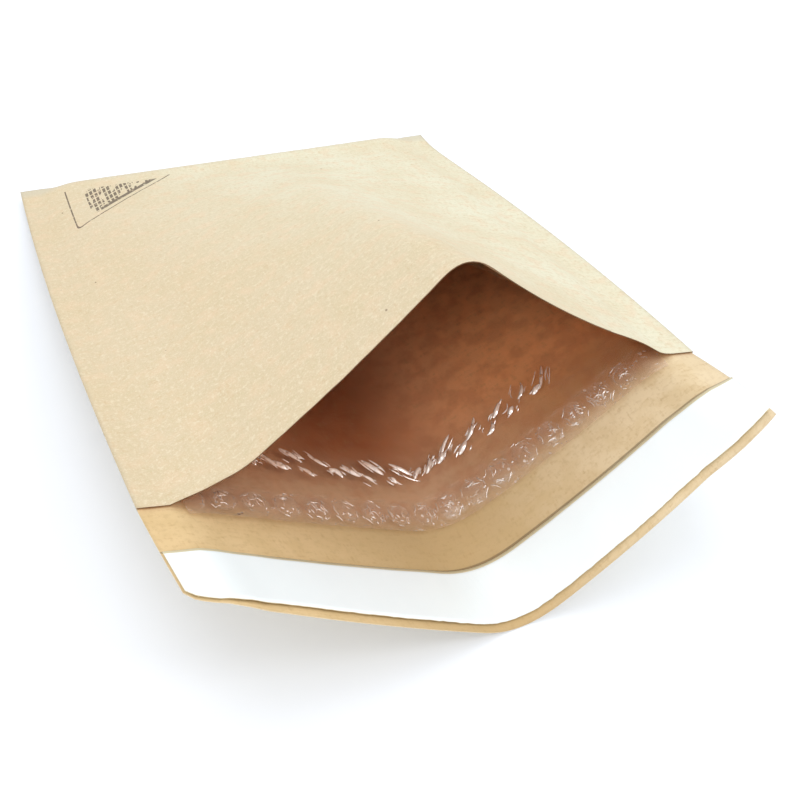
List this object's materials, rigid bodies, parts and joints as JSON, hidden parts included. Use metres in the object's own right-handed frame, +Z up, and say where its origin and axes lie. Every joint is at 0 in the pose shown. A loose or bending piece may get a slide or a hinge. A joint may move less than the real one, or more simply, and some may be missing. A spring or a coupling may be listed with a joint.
{
  "type": "padded envelope",
  "caption": "Kraft paper mailing envelope lined with bubble film, lying on its back with the mouth held open and the flap unfolded.",
  "frame": {"origin": "on the floor that the envelope lies on, in the middle of its bounding box", "axes": "+Z up, the closed end towards +Y, the mouth and the flap towards -Y, X across the envelope"},
  "size_m": [0.235, 0.325, 0.1056],
  "materials": {
    "kraft_paper": "matte kraft paper",
    "bubble_film": "clear glossy polyethylene film",
    "flap_glue": "satin hot-melt glue",
    "release_paper": "smooth siliconised paper"
  },
  "bodies": {
    "root": {"back_panel": "kraft_paper", "front_panel": "kraft_paper", "back_lining": "bubble_film", "front_lining": "bubble_film", "adhesive_strip": "flap_glue", "release_liner": "release_paper"}
  },
  "joints": []
}
